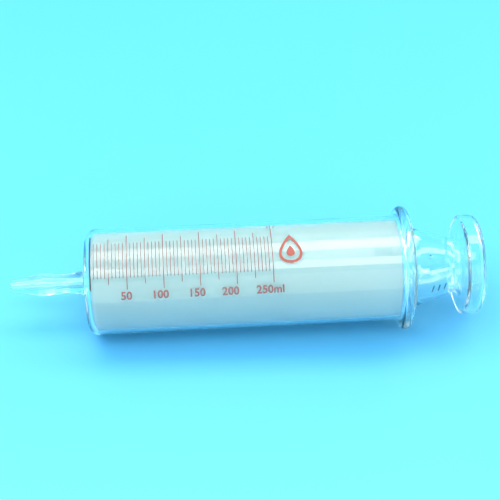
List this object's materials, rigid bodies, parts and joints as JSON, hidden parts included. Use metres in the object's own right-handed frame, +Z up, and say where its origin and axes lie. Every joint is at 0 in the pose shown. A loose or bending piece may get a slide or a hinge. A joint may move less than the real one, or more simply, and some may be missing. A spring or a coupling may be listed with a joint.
{
  "type": "glass oral syringe",
  "caption": "Large all-glass oral syringe: a graduated barrel with a cone nozzle and a finger flange, and a hollow ground-glass plunger with a knob that slides in it.",
  "frame": {"origin": "on the table under the middle of the syringe's overall length, with the plunger fully home and the syringe's axis level", "axes": "+X along the syringe's axis from the nozzle to the knob, +Z up from the table; the printed scale faces -Y and upwards"},
  "size_m": [0.2682, 0.0712, 0.0712],
  "materials": {
    "clear_glass": "fire-polished clear borosilicate glass",
    "ground_glass": "finely ground frosted glass",
    "scale_print": "red-brown enamel fired onto the glass",
    "sign_print": "orange-red enamel fired onto the glass"
  },
  "bodies": {
    "barrel": {"nozzle": "clear_glass", "barrel_shoulder": "clear_glass", "barrel_tube": "clear_glass", "barrel_flange": "clear_glass"},
    "plunger": {"piston_front": "ground_glass", "piston_sleeve": "ground_glass", "plunger_neck": "clear_glass", "plunger_knob": "clear_glass", "knob_end": "clear_glass"}
  },
  "joints": [
    {"name": "plunger_slide", "type": "slide", "parent": "barrel", "child": "plunger", "axis": [1, 0, 0], "range_m": [0, 0.15]}
  ]
}
